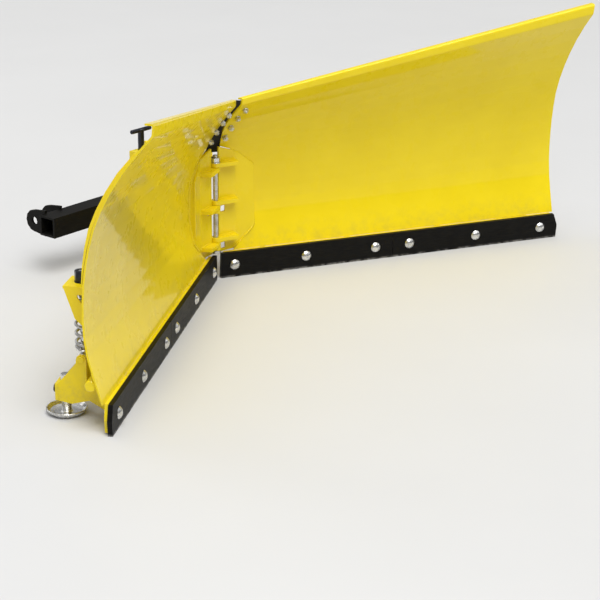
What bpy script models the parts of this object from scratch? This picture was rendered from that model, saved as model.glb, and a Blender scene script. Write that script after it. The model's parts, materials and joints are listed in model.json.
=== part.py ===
"""Two-wing snow plough blade for a quad bike.

Frame: +X to the right seen from the front, -Y forwards, +Z up, ground at z = 0.
Each wing is modelled in its own axes, as the right-hand wing: x along the wing from the hinge,
y to the rear, z up.  The left-hand wing is the mirror image.  At rest both wings are swung
forwards into the scoop position.
"""
from math import cos, pi, radians, sin, sqrt

import bmesh
import bpy
from mathutils import Matrix, Vector
from mathutils.geometry import tessellate_polygon

# Driving dimensions, metres.
HINGE_Y = 0.05755             # hinge axis behind the origin
SCOOP_ANGLE = radians(29)     # forward swing of each wing at rest
WING_LENGTH = 0.750
GAP = 0.0003                  # clearance between touching pieces

STRIP_HEIGHT = 0.050          # wear strips
STRIP_FRONT = -0.004
STRIP_BACK = 0.004
STRIP_JOINT_X = 0.375
BOLT_X = (0.0375, 0.1875, 0.3375, 0.4125, 0.5625, 0.7125)
BOLT_Z = 0.0245
BOLT_HOLE = 0.0043
BAR_BACK = 0.0105             # rear face of the bar behind the strips

BOARD_THICK = 0.003           # mouldboard sheet
BOARD_BOTTOM_Y, BOARD_BOTTOM_Z = 0.0105, 0.0505
BEND_Z = 0.072
SEAM_Y, SEAM_Z = 0.0235, 0.0965
DEEPEST_Y, DEEPEST_Z = 0.0365, 0.185
BOARD_TOP = 0.4795            # last bend below the lip, at the outer end
LOWER_CURVE, UPPER_CURVE, UPPER_TWIST = 1.66, 0.70, 1.95
BOARD_BENDS = 13
INNER_SCALE = 0.649           # height of the curved part at the hinge over that at the outer end
TOP_LEAN, LEAN_FROM = 0.048, 0.34           # extra forward lean, per metre above LEAN_FROM
BOARD_END_X = 0.748
END_FLARE = 0.065             # outward lean of the outer edge above FLARE_Z
FLARE_Z = 0.30
MITRE_X = 0.009               # distance of the mitred inner edge from the centre plane at rest
BOARD_INNER_X = 0.0145

PLATE_FRONT, PLATE_BACK = 0.019, 0.024      # hinge plate
PLATE_FOLD_X = 0.047                        # inwards of here it is folded towards the pin
PLATE_EDGE_X, PLATE_EDGE_Y = 0.0087, 0.0052
PIN_RADIUS = 0.005
PIN_HOLE = 0.0053
EYE_RADIUS = 0.0095
LUG_THICK = 0.008
LUG_TOPS = (0.232, 0.158, 0.084)            # tops of the right-hand hinge lugs
LEFT_LUG_DROP = 0.0085

LOWER_BAR_Y, LOWER_BAR_Z, LOWER_BAR_RADIUS = 0.0318, 0.078, 0.009
TRIP_Y, TRIP_Z = 0.0235, 0.0575             # trip hinge axis
TRIP_HEAD = 0.007
SHAFT_RADIUS, SHAFT_HOLE = 0.004, 0.0046
EAR_X = (0.100, 0.280, 0.480)
EAR_THICK = 0.008

SKID_X, SKID_Y = 0.673, 0.093
LEVER_OUT, LEVER_THICK = 0.0165, 0.005      # half width and sheet of the lever
EYE_Y, EYE_Z = 0.062, 0.0985                # lower end of the spring rod
BOX_HALF, BOX_TOP = 0.0248, 0.2222          # spring box
SPRING_SEAT_Z = 0.1120

SECTOR_RADIUS = 0.140                       # lock pin circle around the hinge
LOCK_ANGLE = radians(53)
WING_RANGE = radians(50)                    # swing from scoop back to V, in four locked steps
LOCK_RADIUS, LOCK_HOLE = 0.006, 0.0063
LOCK_BOTTOM = 0.1828           # parked, just above the higher quadrant
LOCK_COLLAR, LOCK_TOP = 0.2290, 0.2960
SECTOR_Z = {1: 0.175, -1: 0.163}
SECTOR_THICK = 0.006
LOWER_BRIDGE, UPPER_BRIDGE = (0.150, 0.158), (0.186, 0.194)
STRAP_TOP = (0.249, 0.255)
BEAM_Y = (0.236, 0.276)                     # cross tube for the push tubes

SIDES = {"right": 1, "left": -1}
PLANES = {
    "XY": lambda a, b, t: (a, b, t),
    "YZ": lambda a, b, t: (t, a, b),
    "XZ": lambda a, b, t: (a, t, b),
}


# ---------------------------------------------------------------- shapes

def arc(centre, radius, start, end, steps):
    """Points on an arc, angles in degrees."""
    turn = [radians(start + (end - start) * i / steps) for i in range(steps + 1)]
    return [(centre[0] + radius * cos(a), centre[1] + radius * sin(a)) for a in turn]


def circle(centre, radius, sides=12):
    return arc(centre, radius, 0, 360, sides)[:-1]


def hexagon(centre, across_flats):
    return arc(centre, across_flats / sqrt(3), 0, 360, 6)[:-1]


def finish_mesh(bm):
    bmesh.ops.recalc_face_normals(bm, faces=bm.faces)
    mesh = bpy.data.meshes.new("mesh")
    bm.to_mesh(mesh)
    bm.free()
    return mesh


def prism(outline, low, high, holes=(), plane="XY"):
    """Closed plate with an outline and holes in one plane, and its thickness from low to high."""
    put = PLANES[plane]
    loops = [outline, *holes]
    bm = bmesh.new()
    rings = [[[bm.verts.new(put(a, b, t)) for a, b in loop] for t in (low, high)] for loop in loops]
    triangles = tessellate_polygon([[Vector((a, b, 0)) for a, b in loop] for loop in loops])
    for level in (0, 1):
        verts = [vert for ring in rings for vert in ring[level]]
        for triangle in triangles:
            bm.faces.new([verts[i] for i in triangle])
    for lower, upper in rings:
        for i, vert in enumerate(lower):
            j = (i + 1) % len(lower)
            bm.faces.new((vert, lower[j], upper[j], upper[i]))
    return finish_mesh(bm)


def box(x, y, z):
    """Block between two x, two y and two z values."""
    return prism([(x[0], y[0]), (x[1], y[0]), (x[1], y[1]), (x[0], y[1])], *z)


def turned(profile, centre, axis="Z", sides=16, ring=False):
    """Round body from (radius, height) pairs around a centre; a ring's profile is a closed loop."""
    bm = bmesh.new()
    loops = []
    for radius, height in profile:
        points = circle((0, 0), radius, sides) if radius > 0 else [(0, 0)]
        loops.append([bm.verts.new((u, v, height)) for u, v in points])
    pairs = list(zip(loops, loops[1:]))
    if ring:
        pairs.append((loops[-1], loops[0]))
    for low, high in pairs:
        for i in range(sides):
            j = (i + 1) % sides
            corners = [low[i % len(low)], low[j % len(low)], high[j % len(high)], high[i % len(high)]]
            bm.faces.new(list(dict.fromkeys(corners)))
    turn = {"Z": Matrix(), "X": Matrix.Rotation(pi / 2, 4, "Y"), "Y": Matrix.Rotation(-pi / 2, 4, "X")}
    bmesh.ops.transform(bm, matrix=Matrix.Translation(centre) @ turn[axis], verts=bm.verts)
    return finish_mesh(bm)


def rod(radius, centre, start, end, axis="Z", sides=12):
    return turned([(0, start), (radius, start), (radius, end), (0, end)], centre, axis, sides)


def coil(centre, radius, wire, bottom, top, turns, steps=10, sides=4):
    """Closed helical spring with its wire's ends inside the given heights."""
    bm = bmesh.new()
    count = int(turns * steps)
    rings = []
    for i in range(count + 1):
        angle = 2 * pi * i / steps
        height = bottom + wire + (top - bottom - 2 * wire) * i / count
        loop = [(radius + wire * cos(a), wire * sin(a)) for a in (2 * pi * k / sides for k in range(sides))]
        rings.append([bm.verts.new((centre[0] + r * cos(angle), centre[1] + r * sin(angle), height + h))
                      for r, h in loop])
    for low, high in zip(rings, rings[1:]):
        for k in range(sides):
            m = (k + 1) % sides
            bm.faces.new((low[k], low[m], high[m], high[k]))
    bm.faces.new(rings[0])
    bm.faces.new(rings[-1])
    return finish_mesh(bm)


def combine(operation, first, *others):
    """Mesh of a Boolean UNION, DIFFERENCE or INTERSECT of closed meshes."""
    pieces = [bpy.data.objects.new("piece", mesh) for mesh in (first, *others)]
    for piece in pieces:
        bpy.context.collection.objects.link(piece)
    for tool in pieces[1:]:
        step = pieces[0].modifiers.new("step", "BOOLEAN")
        step.operation = operation
        step.object = tool
    graph = bpy.context.evaluated_depsgraph_get()
    result = bpy.data.meshes.new_from_object(pieces[0].evaluated_get(graph))
    for piece in pieces:
        bpy.data.objects.remove(piece)
    return result


# ---------------------------------------------------------------- materials and placing

def paint(name, colour, roughness, metallic=0.0):
    material = bpy.data.materials.new(name)
    material.use_nodes = True
    shader = material.node_tree.nodes["Principled BSDF"]
    shader.inputs["Base Color"].default_value = (*colour, 1)
    shader.inputs["Roughness"].default_value = roughness
    shader.inputs["Metallic"].default_value = metallic
    material.diffuse_color = (*colour, 1)
    return material


def axis_empty(name, location, parent=None, turn=0.0):
    """Empty on a joint's axis, which carries one moving body."""
    empty = bpy.data.objects.new(name, None)
    bpy.context.collection.objects.link(empty)
    empty.parent = parent
    empty.location = location
    empty.rotation_euler.z = turn
    return empty


def place(name, mesh, material, carrier=None, offset=(0, 0, 0), side=1):
    """Put a mesh on its carrier; offset is the carrier's place in the axes that the mesh uses."""
    if side < 0:
        mesh.transform(Matrix.Scale(-1, 4, (1, 0, 0)))
        mesh.flip_normals()
    mesh.name = name
    mesh.materials.clear()
    mesh.materials.append(material)
    mesh.shade_smooth()
    mesh.set_sharp_from_angle(angle=radians(25))
    item = bpy.data.objects.new(name, mesh)
    bpy.context.collection.objects.link(item)
    item.parent = carrier
    item.location = (-side * offset[0], -offset[1], -offset[2])
    return item


# ---------------------------------------------------------------- wing pieces

def board_scale(x):
    return INNER_SCALE + (1 - INNER_SCALE) * x / WING_LENGTH


def board_face(x, height):
    """Front face of the mouldboard at x, as (y, z), for a height taken at the outer end."""
    if height <= SEAM_Z:
        share = (height - BOARD_BOTTOM_Z) / (SEAM_Z - BOARD_BOTTOM_Z)
        return BOARD_BOTTOM_Y + (SEAM_Y - BOARD_BOTTOM_Y) * share, height
    above = height - DEEPEST_Z
    bulge = LOWER_CURVE * above**2 if above < 0 else UPPER_CURVE * above**2 + UPPER_TWIST * above**3
    scale = board_scale(x)
    lean = TOP_LEAN * max(0.0, height - LEAN_FROM)
    return SEAM_Y + (DEEPEST_Y - bulge - SEAM_Y) * scale - lean, SEAM_Z + (height - SEAM_Z) * scale


def board_section(x):
    """Front and back outlines of the bent sheet at x, from the bottom edge over the lip."""
    heights = [BOARD_BOTTOM_Z, BEND_Z]
    heights += [SEAM_Z + (BOARD_TOP - SEAM_Z) * i / BOARD_BENDS for i in range(BOARD_BENDS + 1)]
    front = [board_face(x, height) for height in heights]
    scale = board_scale(x)
    lip = arc((0.0030, 0.0150), 0.0045, 180, 90, 3) + [(0.0125, 0.0195)]
    front += [(front[len(heights) - 1][0] + y * scale, front[len(heights) - 1][1] + z * scale)
              for y, z in lip]
    back = []
    for i, (y, z) in enumerate(front):
        normals = []
        for a, b in ((i - 1, i), (i, i + 1)):
            if a >= 0 and b < len(front):
                along = Vector((front[b][0] - front[a][0], front[b][1] - front[a][1])).normalized()
                normals.append(Vector((along.y, -along.x)))
        mean = sum(normals, Vector((0, 0)))
        step = BOARD_THICK * len(normals) / mean.length_squared * mean
        back.append((y + step.x, z + step.y))
    return front, back


def inner_edge_x(index, layer):
    """Mitred inner end of the sheet for one line of its section."""
    x = BOARD_INNER_X
    for _ in range(6):
        y = board_section(x)[layer][index][0]
        x = max(BOARD_INNER_X, (MITRE_X - y * sin(SCOOP_ANGLE)) / cos(SCOOP_ANGLE))
    return x


def mouldboard():
    """Bent sheet, cut away where the hinge plate is let into it."""
    bm = bmesh.new()
    outer = board_section(WING_LENGTH)
    columns = []
    for layer in (0, 1):
        column = []
        for i, (_, z) in enumerate(outer[layer]):
            end = BOARD_END_X + END_FLARE * max(0.0, z - FLARE_Z)
            row = [(x, *board_section(x)[layer][i]) for x in (inner_edge_x(i, layer), end)]
            column.append([bm.verts.new(point) for point in row])
        columns.append(column)
    front, back = columns
    for i in range(len(front) - 1):
        for layer in (front, back):
            bm.faces.new((layer[i][0], layer[i][1], layer[i + 1][1], layer[i + 1][0]))
        for end in (0, 1):
            bm.faces.new((front[i][end], front[i + 1][end], back[i + 1][end], back[i][end]))
    for i in (0, -1):
        bm.faces.new((front[i][0], front[i][1], back[i][1], back[i][0]))
    seat = [(-0.020, 0.040), (0.0283, 0.040), (0.0693, 0.0760), (0.0866, 0.0937), (0.0861, 0.2153),
            (0.0716, 0.2276), (0.0563, 0.2396), (0.0370, 0.2512), (-0.020, 0.2720)]
    plate_seat = prism(seat, -0.030, PLATE_BACK + 2 * GAP, plane="XZ")
    tongue_way = box((-0.020, 0.0360), (-0.030, 0.060), (0.040, 0.2500))
    return combine("DIFFERENCE", finish_mesh(bm), plate_seat, tongue_way)


def board_back(x, first, last, gap=0.0012):
    """Line just behind the sheet at x, between two of its bends."""
    return [(y + gap, z) for y, z in board_section(x)[1][first:last + 1]]


def rib(x, thick, back_y, first=2, last=14):
    """Upright plate welded behind the mouldboard."""
    front = board_back(x + thick / 2, first, last)
    top_y, top_z = front[-1]
    low_z = front[0][1]
    middle_z = low_z + 0.55 * (top_z - low_z)
    rear = [(top_y + 0.012, top_z), (back_y, middle_z), (back_y, low_z + 0.030), (back_y - 0.020, low_z)]
    return prism(front + rear, x, x + thick, plane="YZ")


def end_rib():
    """Narrow stiffening band along the outer edge of the mouldboard."""
    front = board_back(0.745, 7, 14)
    depths = [0.0012 + 0.0043 * min(1.0, i / 3) for i in range(len(front))]
    depths[-1] = 0.003
    rear = [(y + depth, z) for (y, z), depth in zip(front, depths)]
    return prism(front + rear[::-1], 0.7425, 0.7475, plane="YZ")


def hinge_lug(top):
    """Lug with the pin's eye, running along the hinge plate."""
    outline = arc((0, 0), EYE_RADIUS, 115, 268, 6)
    outline += [(0.0460, -0.0040), (0.0460, PLATE_FRONT + 0.001), (0.0155, PLATE_EDGE_Y + 0.004)]
    return prism(outline, top - LUG_THICK, top, [circle((0, 0), PIN_HOLE)])


def hinge_bracket(side):
    """Eight-sided folded hinge plate with three lugs, notched where the frame's tongues pass."""
    front = [(PLATE_EDGE_X, PLATE_EDGE_Y), (PLATE_FOLD_X, PLATE_FRONT), (0.0900, PLATE_FRONT)]
    back = [(0.0900, PLATE_BACK), (PLATE_FOLD_X - 0.0015, PLATE_BACK), (0.0072, 0.0099)]
    folded = prism(front + back, 0.0450, 0.2650)
    outline = [(0, 0.0515), (0.0405, 0.0515), (0.0688, 0.0764), (0.0860, 0.0940), (0.0855, 0.2150),
               (0.0712, 0.2270), (0.0560, 0.2390), (0.0367, 0.2506), (0, 0.2640)]
    trim = prism(outline, -0.010, 0.040, plane="XZ")
    notches = [box((0, 0.0225), (-0.010, 0.040), level) for level in ((0.1310, 0.1430), (0.0570, 0.0690))]
    plate = combine("DIFFERENCE", combine("INTERSECT", folded, trim), *notches)
    drop = 0 if side > 0 else LEFT_LUG_DROP
    return combine("UNION", plate, *[hinge_lug(top - drop) for top in LUG_TOPS])


def sector_plate(side):
    """Quadrant with the lock pin's holes, centred on the hinge."""
    low = SECTOR_Z[side]
    inner, outer = SECTOR_RADIUS - 0.018, SECTOR_RADIUS + 0.018
    outline = arc((0, 0), inner, 89, 26, 7) + [(0.1120, 0.0365), (0.1840, 0.0380)]
    outline += [(0.1840, 0.0560)] + arc((0, 0), outer, 24, 89, 8)
    holes = []
    for step in range(5):
        angle = LOCK_ANGLE + SCOOP_ANGLE - WING_RANGE * step / 4
        holes.append(circle((SECTOR_RADIUS * cos(angle), SECTOR_RADIUS * sin(angle)), 0.0066, 10))
    return prism(outline, low, low + SECTOR_THICK, holes)


def lower_bar():
    """Round bar along the foot of the mouldboard, with ears that hold the trip shaft."""
    body = rod(LOWER_BAR_RADIUS, (0, LOWER_BAR_Y, LOWER_BAR_Z), 0.088, 0.744, "X", 12)
    outline = arc((TRIP_Y, TRIP_Z), TRIP_HEAD, 160, 330, 6)
    outline += [(LOWER_BAR_Y + 0.006, LOWER_BAR_Z), (LOWER_BAR_Y - 0.0055, LOWER_BAR_Z)]
    hole = circle((TRIP_Y, TRIP_Z), SHAFT_HOLE, 8)
    starts = [x - EAR_THICK - 0.0005 for x in EAR_X] + [SKID_X + LEVER_OUT + 0.0005]
    ears = [prism(outline, x, x + EAR_THICK, [hole], "YZ") for x in starts]
    return combine("UNION", body, *ears)


def spring_box():
    """Folded bracket on the mouldboard's back that the trip spring pushes against."""
    front = board_back(SKID_X, 4, 7)
    side = front[1:] + [(0.0395, BOX_TOP), (0.0840, BOX_TOP), (0.0663, 0.1697), (0.0520, 0.1560)]
    window = [(0.0460, 0.1945), (0.0550, 0.1945), (0.0616, 0.2040), (0.0616, 0.2090), (0.0460, 0.2090)]
    walls = [prism(side, x, x + 0.004, [window], "YZ")
             for x in (SKID_X - BOX_HALF, SKID_X + BOX_HALF - 0.004)]
    top = [(SKID_X - BOX_HALF, 0.0395), (SKID_X + BOX_HALF, 0.0395),
           (SKID_X + BOX_HALF, 0.0840), (SKID_X - BOX_HALF, 0.0840)]
    roof = prism(top, BOX_TOP - 0.004, BOX_TOP, [circle((SKID_X, EYE_Y), 0.0065)])
    return combine("UNION", roof, *walls)


def rubber_flap():
    """Bolted edge of the rubber curtain that closes the gap above the hinge."""
    bm = bmesh.new()
    rows = []
    first, last = 10, 15
    for i in range(first, last + 1):
        start = inner_edge_x(i, 1) - 0.0005
        row = []
        for x in (start, start + 0.036):
            y, z = board_section(x)[1][i]
            row.append([(x, y + depth, z) for depth in (0.0006, 0.0046)])
        rows.append([[bm.verts.new(point) for point in pair] for pair in row])
    for low, high in zip(rows, rows[1:]):
        for layer in (0, 1):
            bm.faces.new((low[0][layer], low[1][layer], high[1][layer], high[0][layer]))
        for end in (0, 1):
            bm.faces.new((low[end][0], low[end][1], high[end][1], high[end][0]))
    for row in (rows[0], rows[-1]):
        bm.faces.new((row[0][0], row[1][0], row[1][1], row[0][1]))
    return finish_mesh(bm)


# ---------------------------------------------------------------- trip edge, spring and skid

def strip(part):
    """One wear strip; the outer one has its end clipped."""
    if part == "inner":
        outline = [(0.0085, 0), (STRIP_JOINT_X - 0.0005, 0), (STRIP_JOINT_X - 0.0005, STRIP_HEIGHT),
                   (0.010, STRIP_HEIGHT)]
        places = BOLT_X[:3]
    else:
        outline = [(STRIP_JOINT_X + 0.0005, 0), (0.7505, 0), (0.7525, 0.026), (0.7440, STRIP_HEIGHT),
                   (STRIP_JOINT_X + 0.0005, STRIP_HEIGHT)]
        places = BOLT_X[3:]
    holes = [circle((x, BOLT_Z), BOLT_HOLE, 8) for x in places]
    return prism(outline, STRIP_FRONT, STRIP_BACK, holes, "XZ")


def strip_bolt(x):
    """Cup-head bolt through strip and bar, with its nut."""
    head = [(0, -0.0094), (0.0065, -0.0086), (0.0103, -0.0055), (0.0103, STRIP_FRONT - GAP),
            (0.0040, STRIP_FRONT - GAP), (0.0040, 0.0190), (0, 0.0190)]
    bolt = turned(head, (x, 0, BOLT_Z), "Y", 12)
    nut = prism(hexagon((x, BOLT_Z), 0.013), BAR_BACK + GAP, BAR_BACK + 0.0068, plane="XZ")
    return combine("UNION", bolt, nut)


def lever_outline():
    outline = [(0.0085, 0.0060), (0.0500, 0.0300), (0.0790, 0.0225), (0.1010, 0.0265),
               (0.1010, 0.0555), (0.0705, 0.0905)]
    outline += arc((EYE_Y, EYE_Z), 0.008, 0, 180, 5)
    outline += [(0.0535, 0.0610), (0.0305, 0.0590)]
    outline += arc((TRIP_Y, TRIP_Z), TRIP_HEAD, 30, 180, 5)
    return outline + [(0.0165, 0.0485), (0.0085, 0.0485)]


def trip_frame():
    """Bar behind the strips with its hinge ears, and the lever with the skid's sleeve."""
    bar = prism([(0.0180, 0.003), (0.7440, 0.003), (0.7460, 0.024), (0.7400, 0.050), (0.0180, 0.050)],
                STRIP_BACK + 0.0005, BAR_BACK, [circle((x, BOLT_Z), BOLT_HOLE, 8) for x in BOLT_X], "XZ")
    pivot = circle((TRIP_Y, TRIP_Z), SHAFT_HOLE, 8)
    ear = [(0.0085, 0.0200), (0.0290, 0.0510)] + arc((TRIP_Y, TRIP_Z), TRIP_HEAD, 330, 540, 6)
    ear += [(0.0165, 0.0485), (0.0085, 0.0485)]
    ears = [prism(ear, x, x + EAR_THICK, [pivot], "YZ") for x in EAR_X]
    eye = circle((EYE_Y, EYE_Z), 0.0033, 8)
    walls = [prism(lever_outline(), x, x + LEVER_THICK, [pivot, eye], "YZ")
             for x in (SKID_X - LEVER_OUT, SKID_X + LEVER_OUT - LEVER_THICK)]
    sleeve = turned([(0.0083, 0.0268), (0.0125, 0.0268), (0.0125, 0.0552), (0.0083, 0.0552)],
                    (SKID_X, SKID_Y, 0), ring=True)
    heel = box((SKID_X - LEVER_OUT, SKID_X + LEVER_OUT), (0.1012, 0.1060), (0.0268, 0.0552))
    heel = combine("DIFFERENCE", heel, rod(0.0083, (SKID_X, SKID_Y, 0), 0.0, 0.1, sides=16))
    welded = combine("UNION", bar, *ears, *walls, sleeve, heel)
    return combine("DIFFERENCE", welded, rod(BOLT_HOLE, (SKID_X, 0, 0.041), 0.0960, 0.1100, "Y", 8))


def set_bolt():
    shank = rod(0.0039, (SKID_X, 0, 0.041), SKID_Y + 0.0084, 0.1080, "Y", 8)
    head = prism(hexagon((SKID_X, 0.041), 0.013), 0.1063, 0.1120, plane="XZ")
    return combine("UNION", shank, head)


def skid_shoe():
    profile = [(0, 0), (0.0200, 0), (0.0280, 0.0020), (0.0330, 0.0085), (0.0318, 0.0100),
               (0.0268, 0.0052), (0.0190, 0.0035), (0.0080, 0.0035), (0.0080, 0.0655),
               (0.0070, 0.0665), (0, 0.0665)]
    return turned(profile, (SKID_X, SKID_Y, 0), sides=20)


def spring_rod():
    """Rod through the trip spring, with the spring's seat and the eye at its foot."""
    seat = (SPRING_SEAT_Z - 0.0025, SPRING_SEAT_Z)
    stem = turned([(0, EYE_Z), (0.004, EYE_Z), (0.004, seat[0]), (0.0112, seat[0]), (0.0112, seat[1]),
                   (0.004, seat[1]), (0.004, 0.2405), (0, 0.2405)], (SKID_X, EYE_Y, 0), sides=12)
    boss = rod(0.0075, (0, EYE_Y, EYE_Z), SKID_X - 0.0108, SKID_X + 0.0108, "X", 12)
    hole = rod(0.0033, (0, EYE_Y, EYE_Z), SKID_X - 0.0120, SKID_X + 0.0120, "X", 8)
    return combine("DIFFERENCE", combine("UNION", stem, boss), hole)


def spring_nut():
    hole = [circle((SKID_X, EYE_Y), 0.0043)]
    flange = prism(circle((SKID_X, EYE_Y), 0.0104, 16), BOX_TOP + GAP, BOX_TOP + 0.0020, hole)
    body = prism(hexagon((SKID_X, EYE_Y), 0.0175), BOX_TOP + 0.0015, BOX_TOP + 0.0190, hole)
    return combine("UNION", flange, body)


def spring_pin():
    out = LEVER_OUT
    profile = [(0, -out - 0.0020), (0.0055, -out - 0.0020), (0.0055, -out - GAP), (0.0030, -out - GAP),
               (0.0030, out + GAP), (0.0055, out + GAP), (0.0055, out + 0.0020), (0, out + 0.0020)]
    return turned(profile, (SKID_X, EYE_Y, EYE_Z), "X", 10)


# ---------------------------------------------------------------- centre frame

def lock_pin():
    """Spring-loaded pin with a cross handle, parked in its raised position."""
    x, y = SECTOR_RADIUS * cos(LOCK_ANGLE), SECTOR_RADIUS * sin(LOCK_ANGLE)
    collar = LOCK_COLLAR + 0.0040
    profile = [(0, LOCK_BOTTOM), (0.0045, LOCK_BOTTOM), (LOCK_RADIUS, LOCK_BOTTOM + 0.003),
               (LOCK_RADIUS, LOCK_COLLAR), (0.0085, LOCK_COLLAR), (0.0085, collar),
               (LOCK_RADIUS, collar), (LOCK_RADIUS, LOCK_TOP), (0, LOCK_TOP)]
    shank = turned(profile, (x, y, 0), sides=12)
    handle = rod(0.004, (0, y, LOCK_TOP - 0.0025), x - 0.026, x + 0.026, "X", 10)
    return combine("UNION", shank, handle)


def strap(x, y):
    """Bridge over a lock pin that its spring pushes against."""
    foot = UPPER_BRIDGE[1] - 0.001
    under, top = STRAP_TOP
    outline = [(x - 0.021, foot), (x - 0.017, foot), (x - 0.017, under), (x + 0.017, under),
               (x + 0.017, foot), (x + 0.021, foot), (x + 0.021, top), (x - 0.021, top)]
    body = prism(outline, y - 0.011, y + 0.011, plane="XZ")
    return combine("DIFFERENCE", body, rod(LOCK_HOLE, (x, y, 0), under - 0.01, top + 0.01))


def centre_frame():
    """Welded frame behind the hinge: tongues for the pin, lock pin bridges and lifting eye."""
    front = box((-0.030, 0.030), (0.064, 0.070), (0.056, 0.230))
    end = BEAM_Y[0] - GAP
    roof = UPPER_BRIDGE[1]
    side = [(0.066, 0.056), (end, 0.076), (end, 0.124), (0.192, 0.124), (0.192, roof),
            (0.166, roof), (0.166, 0.135), (0.094, 0.135), (0.094, 0.230), (0.066, 0.230)]
    sides = [prism(side, x, x + 0.006, plane="YZ") for x in (-0.030, 0.024)]
    deck = box((-0.027, 0.027), (0.066, 0.170), (0.129, 0.135))
    pins = [(s * SECTOR_RADIUS * cos(LOCK_ANGLE), SECTOR_RADIUS * sin(LOCK_ANGLE)) for s in (1, -1)]
    bridge = [(-0.042, 0.192), (-0.104, 0.136), (-0.104, 0.105), (-0.096, 0.097), (-0.068, 0.097),
              (-0.038, 0.164), (0.038, 0.164), (0.068, 0.097), (0.096, 0.097), (0.104, 0.105),
              (0.104, 0.136), (0.042, 0.192)]
    bridges = [prism(bridge, *level, [circle(pin, LOCK_HOLE) for pin in pins])
               for level in (LOWER_BRIDGE, UPPER_BRIDGE)]
    tongue = arc((0, 0), EYE_RADIUS, 180, 360, 6) + [(0.0105, 0.035), (0.018, 0.068),
                                                     (-0.018, 0.068), (-0.0105, 0.035)]
    tongues = [prism(tongue, *level, [circle((0, 0), PIN_HOLE)])
               for level in ((0.133, 0.141), (0.0585, 0.067))]
    eye = (0.180, 0.226)
    lug = [(0.168, 0.192), (0.192, 0.192)] + arc(eye, 0.018, -20, 200, 8)
    lift = prism(lug, -0.004, 0.004, [circle(eye, 0.0095)], "YZ")
    straps = [strap(*pin) for pin in pins]
    return combine("UNION", front, *sides, deck, *bridges, *tongues, lift, *straps)


def push_beam():
    """Square cross tube with two pairs of ears for the push tubes."""
    wall = 0.004
    low, high = 0.080, 0.120
    front, rear = BEAM_Y
    tube = combine("DIFFERENCE", box((-0.200, 0.200), BEAM_Y, (low, high)),
                   box((-0.210, 0.210), (front + wall, rear - wall), (low + wall, high - wall)))
    eye = (0.304, 0.100)
    ear = [(rear - 0.003, 0.074), (0.300, 0.078)] + arc(eye, 0.022, -90, 90, 6) + [(rear - 0.003, 0.126)]
    ears = [prism(ear, x - 0.003, x + 0.003, [circle(eye, 0.0083, 10)], "YZ")
            for x in (-0.186, -0.146, 0.146, 0.186)]
    return combine("UNION", tube, *ears)


def hinge_pin():
    head = prism(hexagon((0, 0), 0.017), 0.0515, 0.0580)
    shank = rod(PIN_RADIUS, (0, 0, 0), 0.0570, 0.2470, sides=16)
    return combine("UNION", head, shank)


# ---------------------------------------------------------------- assembly

def build_wing(word, side, colours):
    yellow, black, zinc, steel, dark, rubber = colours
    wing = axis_empty(f"wing_{word}_axis", (0, HINGE_Y, 0), turn=-side * SCOOP_ANGLE)
    welded = {
        "mouldboard": mouldboard(), "hinge_bracket": hinge_bracket(side), "end_rib": end_rib(),
        "inner_rib": rib(0.1850, 0.005, 0.074), "middle_rib": rib(0.4200, 0.005, 0.078),
        "sector_plate": sector_plate(side), "lower_bar": lower_bar(), "spring_box": spring_box(),
    }
    for name, mesh in welded.items():
        place(f"{name}_{word}", mesh, yellow, wing, side=side)
    shaft = rod(SHAFT_RADIUS, (0, TRIP_Y, TRIP_Z), 0.0880, 0.7020, "X")
    place(f"trip_shaft_{word}", shaft, zinc, wing, side=side)
    place(f"rubber_flap_{word}", rubber_flap(), rubber, wing, side=side)

    pivot = (0, TRIP_Y, TRIP_Z)
    trip = axis_empty(f"trip_{word}_axis", pivot, wing)
    place(f"trip_frame_{word}", trip_frame(), yellow, trip, pivot, side)
    for part in ("inner", "outer"):
        place(f"wear_strip_{part}_{word}", strip(part), black, trip, pivot, side)
    for number, x in enumerate(BOLT_X, 1):
        place(f"strip_bolt_{number}_{word}", strip_bolt(x), zinc, trip, pivot, side)
    place(f"set_bolt_{word}", set_bolt(), dark, trip, pivot, side)
    place(f"spring_pin_{word}", spring_pin(), yellow, trip, pivot, side)
    trip_spring = coil((SKID_X, EYE_Y), 0.0105, 0.0025, SPRING_SEAT_Z + GAP, BOX_TOP - 0.0044, 7.0)
    place(f"trip_spring_{word}", trip_spring, steel, trip, pivot, side)

    skid_at = (SKID_X, SKID_Y, 0)
    skid = axis_empty(f"skid_{word}_axis", (side * SKID_X, SKID_Y - TRIP_Y, -TRIP_Z), trip)
    place(f"skid_shoe_{word}", skid_shoe(), zinc, skid, skid_at, side)

    eye_at = (SKID_X, EYE_Y, EYE_Z)
    eye = axis_empty(f"spring_rod_{word}_axis", (side * SKID_X, EYE_Y - TRIP_Y, EYE_Z - TRIP_Z), trip)
    place(f"spring_rod_{word}", spring_rod(), zinc, eye, eye_at, side)
    place(f"spring_nut_{word}", spring_nut(), dark, eye, eye_at, side)


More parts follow.
